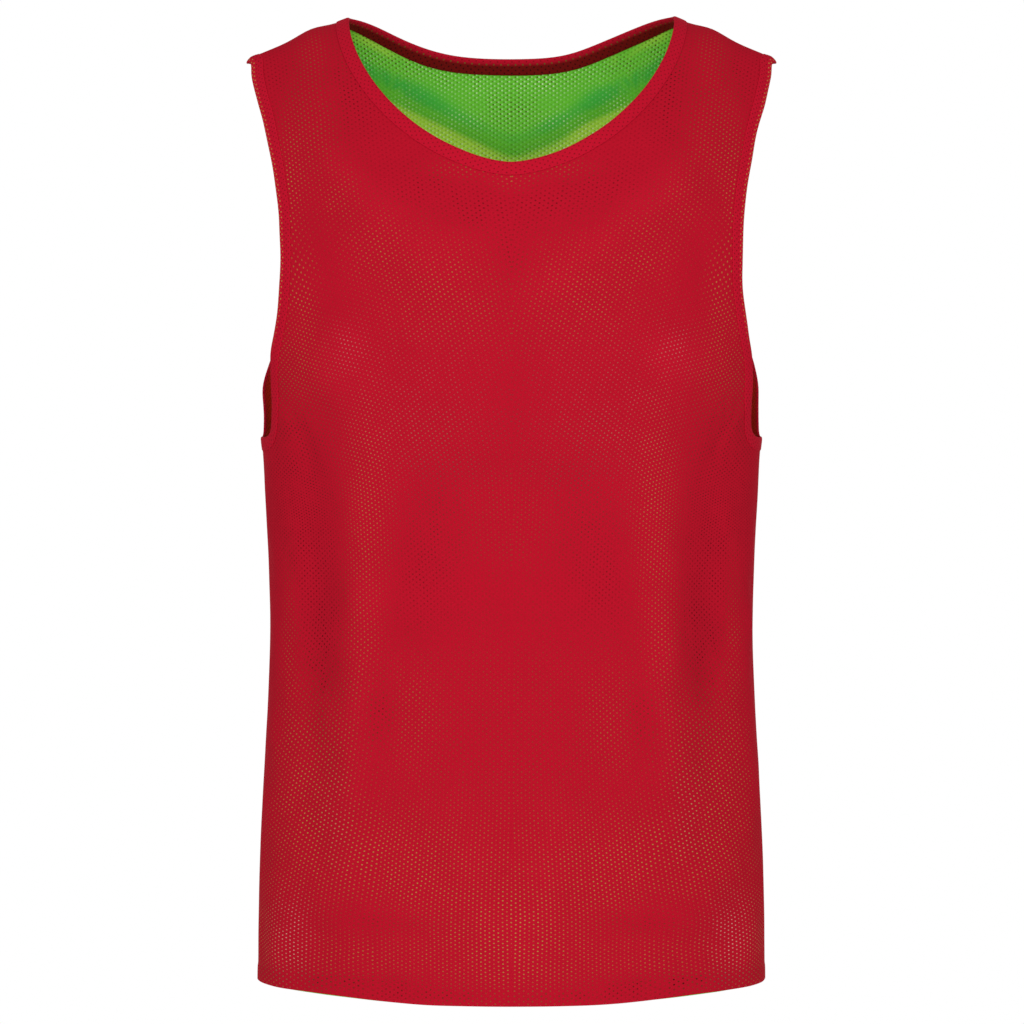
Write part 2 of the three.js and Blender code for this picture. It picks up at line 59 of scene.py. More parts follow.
# Half width of the body, and its depth to the front and the back, at each level.
bodySections = {
    "level": [-40, 0, 60, 130, 190, 250, 315, 360, 407, 460, 512, 561, 610, 660, 730],
    "halfWidth": [202, 205, 209, 210, 208, 198, 187.5, 184.6, 182.2, 180.9, 182.6, 185.3,
                  187.8, 189.4, 190],
    "front": [108, 112, 117, 122, 124, 124, 120, 115.5, 112.5, 111, 111.5, 113.5, 116, 119, 122],
    "back": [98, 101, 105, 109, 109, 107, 103, 98, 93, 89, 89, 91, 94.5, 98.5, 102],
}

# How far across the edge of the armhole lies at each level, seen from the front.
frontArmhole = {
    "level": [37, 47, 67, 84, 105, 130, 160, 187, 212, 240, 258, 274, 290, 302, 310, 314.6, 316],
    "across": [196.2, 195.2, 189.8, 184.8, 179.8, 175, 171.4, 170.2, 171.2, 175, 178.6, 179.4,
               178, 178.4, 179.6, 182.2, 185.8],
}
backArmhole = {
    "level": [36, 46, 67, 100, 148, 187, 220, 242, 260, 277, 292, 304, 312],
    "across": [196.3, 194.6, 189.6, 183, 177.4, 176, 178.2, 182, 186.4, 189.2, 188.8, 188.4,
               188.4],
}

# The neck edge, and the rise of the cloth beside it on either side, which differs in the photo.
neckShape = {
    "halfWidth": 121.8,
    "frontDrop": 120.8,
    "frontPower": 1.7,
    "backDrop": 55,
    "backPower": 1.35,
    "leftLift": {"rise": 1.8, "across": 104, "width": 18},
    "rightLift": {"rise": 7.5, "across": 82, "width": 34},
}

# Folds: the turn in degrees from the centre line and the level where each starts and ends, half its
# width and how far it stands out. Each is repeated on the other half.
frontFolds = [
    (53, 330, 52, 600, 24, -4.5),
    (36, 300, 39, 630, 22, 2.2),
    (74, 360, 72, 640, 18, 1.6),
    (44, 95, 6, 215, 19, 2.4),
    (47, 150, 8, 262, 17, -2),
    (50, 258, 26, 268, 24, 2.8),
    (34, 340, -34, 340, 32, -1.6),
    (52, 672, 20, 650, 14, 1.6),
    (12, 560, 3, 705, 20, 1.8),
    (66, 656, 64, 722, 24, 2.6),
]
backFolds = [
    (45, 12, 1, 84, 10, -3.1),
    (34, 47, 0, 105, 15, 4.7),
    (50, -14, 24, 22, 9, 3.2),
    (40, 110, 12, 190, 18, 1.8),
    (0, 160, 0, 330, 24, -1.4),
    (56, 330, 50, 600, 24, -4),
    (30, 380, 36, 660, 24, 2.6),
    (60, 300, 24, 380, 20, 2),
    (40, 690, 14, 640, 16, 1.8),
]

# Small creases, in the same columns, and whether each is repeated on the other half.
frontCreases = [
    (58, 300, 50, 345, 9, -1.2, True),
    (66, 285, 57, 322, 7, 0.8, True),
    (78, 540, 80, 700, 6, 0.9, True),
    (82, 520, 83, 660, 5, -0.7, True),
    (40, 600, 24, 622, 8, 0.8, True),
    (46, 630, 28, 646, 8, -0.8, False),
    (-34, 655, -16, 664, 7, 0.7, False),
    (52, 690, 30, 682, 7, -0.7, True),
]
backCreases = [
    (20, 120, 4, 170, 7, 1.2, True),
    (20, 54, 5, 78, 8, -0.9, True),
    (44, 84, 24, 150, 8, -1, True),
    (66, 300, 48, 350, 9, -1.2, True),
    (50, 560, 30, 600, 10, 1, True),
    (-44, 620, -20, 650, 9, -1, False),
    (36, 650, 12, 668, 9, 0.8, False),
]

# Towards is the way that a side faces, roll the radius over the shoulder, liftRun how far down the
# rise beside the neck runs out, and underarm how far along the armhole the grid turns its corner.
bibSides = {
    "front": {"towards": -1, "roll": 230, "liftRun": 30, "underarm": 46,
              "folds": frontFolds, "creases": frontCreases, "armhole": frontArmhole},
    "back": {"towards": 1, "roll": 165, "liftRun": 180, "underarm": 34,
             "folds": backFolds, "creases": backCreases, "armhole": backArmhole},
}

unevenness = {"waves": 14, "longest": 120, "shortest": 34, "rise": 0.16, "seed": 7, "backTurn": 9}
# What is left of a fold at its ends, and where folds fade towards the side seam, as a turn in
# radians, and towards the shoulder seam.
foldFade = {"ends": 0.35, "beforeSeam": 0.22, "belowShoulder": (15, 75)}


# A column of a table as a smooth curve, read at every half millimetre of level.
def smoothTable(rows, column):
    levels = np.array(rows["level"], float)
    values = np.array(rows[column], float)
    count = len(levels)
    before = np.maximum(np.arange(count) - 1, 0)
    after = np.minimum(np.arange(count) + 1, count - 1)
    slopes = (values[after] - values[before]) / (levels[after] - levels[before])
    fine = np.arange(levels[0], levels[-1] + 0.5, 0.5)
    i = np.clip(np.searchsorted(levels, fine, side="right") - 1, 0, count - 2)
    step = levels[i + 1] - levels[i]
    t = np.clip((fine - levels[i]) / step, 0, 1)
    curve = (values[i] * (2 * t**3 - 3 * t**2 + 1) + slopes[i] * step * (t**3 - 2 * t**2 + t)
             + values[i + 1] * (3 * t**2 - 2 * t**3) + slopes[i + 1] * step * (t**3 - t**2))
    return fine, curve


sectionCurves = {name: smoothTable(bodySections, name) for name in ("halfWidth", "front", "back")}


def readSection(name, level):
    return np.interp(level, *sectionCurves[name]) - bibShape["clothWall"]


def smoothStep(value, low, high):
    t = np.clip((value - low) / (high - low), 0, 1)
    return t * t * (3 - 2 * t)


# The line of the shoulders: a slope with a swell before the tip, which curls down.
shoulderLine = {"slope": 0.4, "rounding": 40, "from": 124.6, "swell": 3.4, "swellAt": 150, "swellWidth": 14,
                "curl": 0.1, "curlFrom": 193}


def shoulderLevel(across):
    line = shoulderLine
    x = np.abs(across)
    swell = line["swell"] * np.exp(-(((x - line["swellAt"]) / line["swellWidth"]) ** 2))
    curl = line["curl"] * np.maximum(0, x - line["curlFrom"]) ** 2
    slope = line["slope"] * (np.hypot(x, line["rounding"]) - line["from"])
    return slope + bibShape["clothWall"] - swell + curl


def neckLift(side, across, drop):
    lift = 0
    for name, here in (("leftLift", across <= 0), ("rightLift", across > 0)):
        row = neckShape[name]
        away = (np.abs(across) - row["across"]) / row["width"]
        lift = lift + here * row["rise"] * np.exp(-(away**2) - drop / bibSides[side]["liftRun"])
    return lift


# A place on the cloth is a turn round the body from the centre line, and a drop along the cloth
# from the top of the shoulder, where the cloth rolls over before it hangs.
def dropFor(side, across, level):
    roll = bibSides[side]["roll"]
    below = np.maximum(0, level - shoulderLevel(across))
    rolled = roll * np.arccos(np.clip(1 - below / roll, -1, 1))
    return np.where(below > roll, below - roll + roll * quarterTurn, rolled)


def smoothPoint(side, turn, drop):
    roll = bibSides[side]["roll"]
    rollEnd = roll * quarterTurn
    below = np.where(drop > rollEnd, roll + drop - rollEnd, roll * (1 - np.cos(drop / roll)))
    across = readSection("halfWidth", 0) * np.sin(turn)
    for _ in range(bibShape["rounds"]):
        level = shoulderLevel(across) + below
        across = readSection("halfWidth", level) * np.sin(turn)
    level = level - neckLift(side, across, np.abs(drop))
    rolled = np.where(drop < rollEnd, np.sin(drop / roll), 1)
    forward = bibSides[side]["towards"] * readSection(side, level) * np.cos(turn) * rolled
    return np.stack([across, forward, bibShape["neckPointHeight"] - level], -1)


def unit(vectors):
    return vectors / np.maximum(np.linalg.norm(vectors, axis=-1, keepdims=True), 1e-9)


def normalOf(pointAt, side, turn, drop):
    around = pointAt(side, turn + 1e-3, drop) - pointAt(side, turn - 1e-3, drop)
    down = pointAt(side, turn, drop + 0.1) - pointAt(side, turn, drop - 0.1)
    return unit(np.cross(around, down) * bibSides[side]["towards"])


def foldRise(turn, level, fold):
    fromTurn, fromLevel, toTurn, toLevel, width, rise = fold
    scale = math.radians(bibShape["clothRadius"])
    runAround = (toTurn - fromTurn) * scale
    runDown = toLevel - fromLevel
    around = (np.degrees(turn) - fromTurn) * scale
    down = level - fromLevel
    t = np.clip((around * runAround + down * runDown) / (runAround**2 + runDown**2), 0, 1)
    away = np.hypot(around - t * runAround, down - t * runDown)
    ends = foldFade["ends"] + (1 - foldFade["ends"]) * np.sin(math.pi * t)
    return rise * ends * np.exp(-((away / width) ** 2))


# Slow waves in many directions, so that no stretch of the cloth is quite smooth.
def clothWaves(turn, level):
    chance = np.random.default_rng(unevenness["seed"])
    rise = 0
    for _ in range(unevenness["waves"]):
        length = chance.uniform(unevenness["shortest"], unevenness["longest"])
        way = chance.uniform(0, math.pi)
        shift = chance.uniform(0, 2 * math.pi)
        along = turn * bibShape["clothRadius"] * math.cos(way) + level * math.sin(way)
        rise = rise + unevenness["rise"] * np.sin(2 * math.pi * along / length + shift)
    return rise


def clothRise(side, turn, level, drop):
    rise = clothWaves(turn + (0 if side == "front" else unevenness["backTurn"]), level)
    for fold in bibSides[side]["folds"]:
        rise = rise + foldRise(turn, level, fold) + foldRise(-turn, level, fold)
    for *crease, mirrored in bibSides[side]["creases"]:
        rise = rise + foldRise(turn, level, crease)
        if mirrored:
            rise = rise + foldRise(-turn, level, crease)
    fromSeam = smoothStep((quarterTurn - np.abs(turn)) / foldFade["beforeSeam"], 0, 1)
    return rise * fromSeam * smoothStep(np.abs(drop), *foldFade["belowShoulder"])


def foldedPoint(side, turn, drop):
    point = smoothPoint(side, turn, drop)
    rise = clothRise(side, turn, bibShape["neckPointHeight"] - point[..., 2], drop)
    return point + normalOf(smoothPoint, side, turn, drop) * rise[..., None]


edgeSamples = 480


# An edge is a dense run of places with the distance along the cloth to each.
def measured(side, turn, drop):
    points = smoothPoint(side, turn, drop)
    steps = np.linalg.norm(np.diff(points, axis=0), axis=1)
    return {"side": side, "turn": turn, "drop": drop, "length": np.concatenate([[0], np.cumsum(steps)])}


def neckEdge(side):
    angle = np.linspace(0, quarterTurn, edgeSamples + 1)
    cosine = np.cos(angle)
    cosine[-1] = 0
    half = neckShape["halfWidth"]
    if side == "front":
        power = 2 / neckShape["frontPower"]
        across = half * np.sin(angle) ** power
        start = shoulderLevel(half)
        level = start + (neckShape["frontDrop"] - start) * cosine**power
    else:
        across = half * np.sin(angle)
        level = shoulderLevel(across) + neckShape["backDrop"] * cosine ** (2 * neckShape["backPower"])
    turn = np.arcsin(np.minimum(1, across / readSection("halfWidth", level)))
    return measured(side, turn, dropFor(side, across, level))


# A centripetal spline through the points, without the first and the last, which only steer it.
def splineThrough(points, count):
    spans = len(points) - 3
    t = np.linspace(0, spans, count + 1)
    i = np.minimum(t.astype(int), spans - 1)
    t = (t - i)[:, None]
    p0, p1, p2, p3 = (points[i + k] for k in range(4))
    d0, d1, d2 = (np.sqrt(np.linalg.norm(b - a, axis=1))[:, None]
                  for a, b in ((p0, p1), (p1, p2), (p2, p3)))
    m1 = ((p1 - p0) / d0 - (p2 - p0) / (d0 + d1) + (p2 - p1) / d1) * d1
    m2 = ((p2 - p1) / d1 - (p3 - p1) / (d1 + d2) + (p3 - p2) / d2) * d1
    return (p1 + m1 * t + (-3 * p1 + 3 * p2 - 2 * m1 - m2) * t**2
            + (2 * p1 - 2 * p2 + m1 + m2) * t**3)


# From the underarm up to the tip of the shoulder.
def armholeEdge(side):
    rows = bibSides[side]["armhole"]
    level = np.array(rows["level"], float)
    across = np.array(rows["across"], float) - bibShape["armholeReach"]
    turn = np.arcsin(np.minimum(1, across / readSection("halfWidth", level)))
    drop = dropFor(side, across, level)
    tipAcross = bibShape["tipAcross"]
    tipTurn = math.asin(tipAcross / readSection("halfWidth", 0))
    underLevel = bibShape["underarmLevel"]
    underDrop = dropFor(side, readSection("halfWidth", underLevel), underLevel)
    turns = [turn[0], tipTurn, *turn, quarterTurn, math.pi - turn[-1]]
    drops = [-drop[0], dropFor(side, tipAcross, 0), *drop, underDrop, drop[-1]]
    radius = bibShape["clothRadius"]
    points = np.stack([np.array(turns) * radius, np.array(drops, float)], 1)[::-1]
    run = splineThrough(points, edgeSamples)
    return measured(side, run[:, 0] / radius, run[:, 1])


def placeAlong(edge, length):
    return (np.interp(length, edge["length"], edge["turn"]),
            np.interp(length, edge["length"], edge["drop"]))


# The places from an edge to a width inwards of it: one pair of turn and drop for each short step.
def placesInside(edge, lengths, width, steps, clothSide):
    side = edge["side"]
    turn, drop = placeAlong(edge, lengths)
    aheadTurn, aheadDrop = placeAlong(edge, lengths + 1)
    behindTurn, behindDrop = placeAlong(edge, lengths - 1)
    tangent = unit(smoothPoint(side, aheadTurn, aheadDrop) - smoothPoint(side, behindTurn, behindDrop))
    places = [(turn, drop)]
    for _ in range(steps):
        around = (smoothPoint(side, turn + 1e-3, drop) - smoothPoint(side, turn - 1e-3, drop)) / 2e-3
        down = (smoothPoint(side, turn, drop + 0.1) - smoothPoint(side, turn, drop - 0.1)) / 0.2
        inwards = unit(np.cross(np.cross(around, down), tangent))
        a, b, c = ((u * v).sum(-1) for u, v in ((around, around), (around, down), (down, down)))
        p, q = ((inwards * v).sum(-1) for v in (around, down))
        step = width / steps / (a * c - b * b)
        addTurn = step * (p * c - q * b)
        addDrop = step * (q * a - p * b)
        across = (aheadTurn - behindTurn) * addDrop - (aheadDrop - behindDrop) * addTurn
        turn = turn + np.sign(across) * clothSide * addTurn
        drop = drop + np.sign(across) * clothSide * addDrop
        places.append((turn, drop))
    return places


edges = {(side, name): make(side) for side in bibSides
         for name, make in (("neck", neckEdge), ("armhole", armholeEdge))}

# Cells of the grid on one half of a panel, about 4 mm each. The neck edge turns from a row of the
# grid into a column, and so does the armhole edge.
panelGrid = {"centre": 28, "strap": 20, "side": 16, "body": 98, "chest": 34, "shoulder": 40,
             "neckCorner": 0.46, "rounds": 500, "overshoot": 1.9}
neckColumn = panelGrid["centre"]
armColumn = neckColumn + panelGrid["strap"]
lastColumn = armColumn + panelGrid["side"]
armRow = panelGrid["body"]
neckRow = armRow + panelGrid["chest"]
topRow = neckRow + panelGrid["shoulder"]

# The hem is turned up once towards the inside: height above the edge and offset of the outer ply,
# the round of the fold and the inner ply, from the top of the outer ply down and up again.
hemShape = {"turnUp": 10, "start": 14, "innerPly": 0.25, "outerPly": 0.95, "roundSteps": 8,
            "liftTurns": (0.25, 0.9),                # the hem rises between these turns
            "greenLonger": 0.6, "longerAt": 0.8, "longerWidth": 0.22,
            "firstCell": 1.2}                        # from the top of the outer ply to the first row above
hemFold = (hemShape["outerPly"] - hemShape["innerPly"]) / 2
hemProfile = [(13.2, 0.5), (12, 0.56), (11, 0.68), (10, 0.82), (8.6, 0.92), (7, 0.95),
              (5, 0.96), (3.4, 0.96), (2, 0.96)]
for step in range(hemShape["roundSteps"] + 1):
    angle = math.pi * step / hemShape["roundSteps"]
    hemProfile.append((hemFold - hemFold * math.sin(angle),
                       hemShape["innerPly"] + hemFold + hemFold * math.cos(angle)))
hemProfile += [(2.2, 0.25), (4.5, 0.24), (7, 0.24), (hemShape["turnUp"], 0.26)]
hemProfile = np.array(hemProfile[::-1])


def hemPlaces(side, turn, height):
    lift = bibShape["hemLift"] * smoothStep(turn, *hemShape["liftTurns"])
    level = bibShape["hemLevel"] - lift - height
    return dropFor(side, readSection("halfWidth", level) * np.sin(turn), level)


# The grid of one half of a panel. Its edges are fixed, and the places between them are evened out
# by repeated averaging, first the black squares of the board and then the white.
def layOut(side):
    turn = np.zeros((lastColumn + 1, topRow + 1))
    drop = np.zeros_like(turn)
    fixed = np.zeros(turn.shape, bool)
    columns = np.arange(lastColumn + 1)[:, None]
    rows = np.arange(topRow + 1)[None, :]
    inGrid = ((columns >= neckColumn) | (rows <= neckRow)) & ((columns <= armColumn) | (rows <= armRow))

    def fix(i, j, places):
        turn[i, j], drop[i, j] = places
        fixed[i, j] = True

    neck = edges[side, "neck"]
    arm = edges[side, "armhole"]
    neckLength, armLength = neck["length"][-1], arm["length"][-1]
    neckCorner = panelGrid["neckCorner"] * neckLength
    armCorner = bibSides[side]["underarm"]
    fix(slice(0, neckColumn + 1), neckRow, placeAlong(neck, np.linspace(0, neckCorner, neckColumn + 1)))
    fix(neckColumn, slice(neckRow, topRow + 1),
        placeAlong(neck, np.linspace(neckCorner, neckLength, topRow - neckRow + 1)))
    fix(slice(armColumn, lastColumn + 1), armRow,
        placeAlong(arm, np.linspace(armCorner, 0, lastColumn - armColumn + 1)))
    fix(armColumn, slice(armRow, topRow + 1),
        placeAlong(arm, np.linspace(armCorner, armLength, topRow - armRow + 1)))
    hemTurn = np.linspace(0, quarterTurn, lastColumn + 1)
    fix(slice(None), 0, (hemTurn, hemPlaces(side, hemTurn, hemShape["start"])))
    for column, row in ((0, neckRow), (lastColumn, armRow)):
        fix(column, slice(0, row + 1), (np.full(row + 1, hemTurn[column]),
                                        np.linspace(drop[column, 0], drop[column, row], row + 1)))
    fix(slice(neckColumn, armColumn + 1), topRow,
        (np.linspace(turn[neckColumn, topRow], turn[armColumn, topRow], armColumn - neckColumn + 1), 0))

    free = inGrid & ~fixed
    turn[free] = np.broadcast_to(hemTurn[:, None], turn.shape)[free]
    drop[free] = (drop[:, :1] * (1 - rows / topRow))[free]
    for _ in range(panelGrid["rounds"]):
        for colour in (0, 1):
            now = (free & ((columns + rows) % 2 == colour))[1:-1, 1:-1]
            for field in (turn, drop):
                inner = field[1:-1, 1:-1]
                mean = (field[:-2, 1:-1] + field[2:, 1:-1] + field[1:-1, :-2] + field[1:-1, 2:]) / 4
                inner[now] += panelGrid["overshoot"] * (mean - inner)[now]
    return turn, drop, inGrid


clothGrid = {"turns": 61, "drops": (-12, 900, 305)}     # where the flat cloth is measured


# Flat cloth coordinates in millimetres: across from the centre line, and up from the hem.
def clothMap(side):
    turns = np.linspace(0, quarterTurn, clothGrid["turns"])
    drops = np.linspace(*clothGrid["drops"])
    points = smoothPoint(side, *np.meshgrid(turns, drops, indexing="ij"))
    across = np.linalg.norm(np.diff(points, axis=0), axis=-1)
    down = np.linalg.norm(np.diff(points, axis=1), axis=-1)
    across = np.concatenate([np.zeros((1, len(drops))), np.cumsum(across, 0)])
    down = np.concatenate([np.zeros((len(turns), 1)), np.cumsum(down, 1)], 1)
    hem = np.array([np.interp(hemDrop, drops, row)
                    for hemDrop, row in zip(hemPlaces(side, turns, 0), down)])
    return turns, drops, across, hem[:, None] - down


clothMaps = {side: clothMap(side) for side in bibSides}


# A value between the places of a grid.
def readMap(grid, i, j):
    i0 = np.clip(i.astype(int), 0, grid.shape[0] - 2)
    j0 = np.clip(j.astype(int), 0, grid.shape[1] - 2)
    s, t = i - i0, j - j0
    low = grid[i0, j0] * (1 - s) + grid[i0 + 1, j0] * s
    return low * (1 - t) + (grid[i0, j0 + 1] * (1 - s) + grid[i0 + 1, j0 + 1] * s) * t


def clothAt(side, turn, drop):
    turns, drops, across, up = clothMaps[side]
    i = np.abs(turn) / (turns[1] - turns[0])
    j = (drop - drops[0]) / (drops[1] - drops[0])
    return np.sign(turn) * readMap(across, i, j), readMap(up, i, j)


bakeMap = "OFBake"


# A piece from its points in millimetres, its cells, and the cloth coordinates of each corner of a
# cell, which the patterns of its material follow.
def makePiece(pieceName, points, cells, cloth, node, material, fields):
    mesh = bpy.data.meshes.new(pieceName)
    mesh.from_pydata((points * millimetre).tolist(), [], cells.tolist())
    mesh.polygons.foreach_set("use_smooth", np.ones(len(cells), bool))
    attribute = mesh.attributes.new("clothMillimetres", "FLOAT_VECTOR", "CORNER")
    corners = np.concatenate([cloth.reshape(-1, 2), np.zeros((cells.size, 1))], 1)
    attribute.data.foreach_set("vector", corners.astype(np.float32).ravel())
    for name, values in fields.items():
        kind, member = ("FLOAT_VECTOR", "vector") if values.ndim == 2 else ("FLOAT", "value")
        attribute = mesh.attributes.new(name, kind, "POINT")
        attribute.data.foreach_set(member, values.astype(np.float32).ravel())
    low, high = corners.min(0), corners.max(0)
    flat = 0.01 + 0.98 * (corners - low)[:, :2] / (high - low)[:2]
    mesh.uv_layers.new(name=bakeMap).uv.foreach_set("vector", flat.astype(np.float32).ravel())
    mesh.validate()
    piece = bpy.data.objects.new(pieceName, mesh)
    bpy.context.scene.collection.objects.link(piece)
    mesh.materials.append(material)
    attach(piece, "root")
    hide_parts(node)
    print(pieceName, len(cells), "cells")
    return piece


# At its seams a layer stops a shift short of the seam's plane, and a narrow lip runs on towards it.
seamShape = {"shift": 0.12, "lipShift": 0.02, "lipOffset": 0.1}

# What lies behind the eyelets, seen from the front or the back: how far across, the level, half the
# width and height, and the share. Each row is repeated on the other half. The green layer shows
# through the red eyelets. Where the eyelets of the two layers meet, they are painted darker as the
# shaded inside of the bib, and this painted shade also lies over wide patches, such as the flanks,
# the turned hem and the whole front a little. In a few places pale light comes through both,
# painted as pale dots.
frontBehind = {
    "green": [
        (147, 580, 26, 66, 1), (134, 540, 18, 44, 0.8), (95, 618, 70, 30, 0.8), (0, 672, 56, 46, 1),
        (66, 640, 24, 20, 0.7), (51, 212, 42, 36, 0.5), (96, 180, 22, 24, 0.5), (0, 240, 40, 24, 0.15),
        (141, 92, 16, 34, 0.5), (124, 142, 16, 20, 0.5), (152, 215, 10, 34, 0.7), (155, 272, 22, 34, 0.75),
        (104, 366, 15, 74, 0.65), (110, 470, 12, 50, 0.5), (163, 470, 6, 70, 0.4), (10, 500, 60, 50, 0.15),
        (0, 590, 80, 60, 0.2), (0, 375, 50, 40, 0.2), (72, 520, 20, 40, 0.4), (60, 316, 30, 20, 0.2),
        (110, 690, 60, 14, 0.5), (0, 132, 14, 8, 0.5), (148, 38, 12, 24, 0.5), (122, 30, 4, 22, 0.35),
        (40, 126, 20, 6, 0.5), (161, 132, 7, 44, 0.8), (156, 96, 12, 40, 0.5), (178, 690, 14, 40, 0.8),
        (150, 706, 40, 10, 0.6),
    ],
    "inShade": [
        (152, 320, 20, 40, 1), (150, 370, 24, 60, 1), (138, 470, 16, 74, 1), (51, 362, 24, 52, 0.7),
        (66, 420, 16, 40, 0.4), (114, 58, 20, 44, 0.8), (62, 136, 36, 16, 0.6), (24, 156, 26, 13, 0.7),
        (0, 186, 14, 18, 0.6), (94, 516, 12, 24, 0.8), (92, 664, 36, 10, 0.6), (22, 540, 40, 40, 0.2),
        (166, 44, 20, 14, 0.5), (0, 300, 20, 90, 0.2), (150, 66, 40, 50, 0.5), (130, 710, 80, 7, 0.95),
        (40, 717, 80, 5, 0.7), (0, 440, 220, 380, 0.25), (164, 330, 14, 50, 0.8),
    ],
    "pale": [
        (161, 680, 15, 26, 0.9), (128, 592, 10, 30, 0.25), (117, 253, 12, 16, 0.4), (70, 300, 60, 60, 0.2),
    ],
}
backBehind = {
    "green": [
        (110, 24, 14, 12, 0.4), (60, 30, 30, 9, 0.6), (20, 40, 40, 10, 0.8), (0, 62, 34, 16, 0.6),
        (84, 58, 12, 9, 0.8), (62, 77, 18, 10, 1), (38, 91, 20, 10, 1), (12, 100, 22, 9, 0.9),
        (40, 66, 20, 6, 0.7), (120, 560, 50, 90, 0.9), (60, 200, 50, 50, 0.6), (30, 430, 60, 70, 0.7),
        (140, 230, 20, 60, 0.6), (0, 670, 70, 40, 0.9),
    ],
    "inShade": [
        (114, 16, 14, 14, 0.9), (80, 26, 30, 9, 0.8), (30, 34, 40, 9, 0.7), (0, 60, 30, 20, 0.8),
        (84, 58, 12, 8, 0.3), (60, 74, 16, 8, 0.3), (36, 86, 18, 8, 0.3), (8, 94, 20, 8, 0.5),
        (150, 370, 26, 80, 1), (70, 330, 30, 40, 0.8), (0, 540, 50, 50, 0.6), (100, 660, 40, 20, 0.6),
        (150, 60, 24, 20, 0.5),
    ],
    "pale": [
        (161, 680, 15, 26, 0.8),
    ],
}
behind = {"front": frontBehind, "back": backBehind}
holeKinds = ("green", "inShade", "pale")
eyelets = {"across": 5.3, "down": 3.7, "radius": 0.47, "slip": 2.5}


# How much each kind shows at each point of a side.
def behindEyelets(side, point):
    across = np.abs(point[..., 0])
    level = bibShape["neckPointHeight"] - point[..., 2]
    shares = []
    for kind in holeKinds:
        bare = 1
        for at, atLevel, wide, tall, share in behind[side][kind]:
            away = ((across - at) / wide) ** 2 + ((level - atLevel) / tall) ** 2
            bare = bare * (1 - share * np.exp(-away))
        shares.append(1 - bare)
    return np.stack(shares, -1)


# How the columns and rows of eyelets run on the front, as the photo shows them on one half: how
# far the columns lean to the centre line on the way down, in degrees, and the size of the cells at
# each level. Below the armhole the rows dip towards the side.
clothGrain = {
    "level": [100, 150, 220, 290, 325, 360, 400, 470, 540, 600, 640, 670, 724],
    "lean": [6, 7.5, 11, 11, 8, 3, 2, 0, 0.5, -1, -1, 1, 1],
    "across": [6.3, 6.3, 6.1, 5.8, 5.6, 5.4, 5.3, 5.2, 5.4, 5.8, 6.1, 6.3, 6.4],
    "down": [3.7, 3.55, 3.5, 3.5, 3.4, 3.45, 3.65, 3.9, 3.9, 3.5, 3.25, 2.95, 2.9],
}
sideStretch = {"share": 0.2, "from": 100, "begins": (400, 560)}     # the cells are wider at the flank
rowDip = {"depth": 27, "across": (80, 185), "begins": (150, 235), "ends": (340, 400)}
backCell = 5.7     # the width of a cell on the back
levelStep = 2.0
drawnLevels = np.arange(-160, 760, levelStep)


def drawnCloth(side, across, up):
    across = np.abs(across)
    if side == "back":     # there the columns and rows run straight
        return across * eyelets["across"] / backCell, up
    wider, taller, lean = (np.interp(drawnLevels, clothGrain["level"], clothGrain[name])
                           for name in ("across", "down", "lean"))
    wider, taller = eyelets["across"] / wider, eyelets["down"] / taller
    leaned = np.cumsum(wider * np.tan(np.radians(lean))) * levelStep
    down = np.cumsum(taller) * levelStep
    level = bibShape["hemLevel"] - up
    beyond = np.maximum(0, across - sideStretch["from"])
    across = across - sideStretch["share"] * beyond * smoothStep(level, *sideStretch["begins"])
    dip = (rowDip["depth"] * smoothStep(across, *rowDip["across"]) * smoothStep(level, *rowDip["begins"])
           * (1 - smoothStep(level, *rowDip["ends"])))
    return (across * np.interp(level, drawnLevels, wider) + np.interp(level, drawnLevels, leaned),
            dip - np.interp(level, drawnLevels, down))


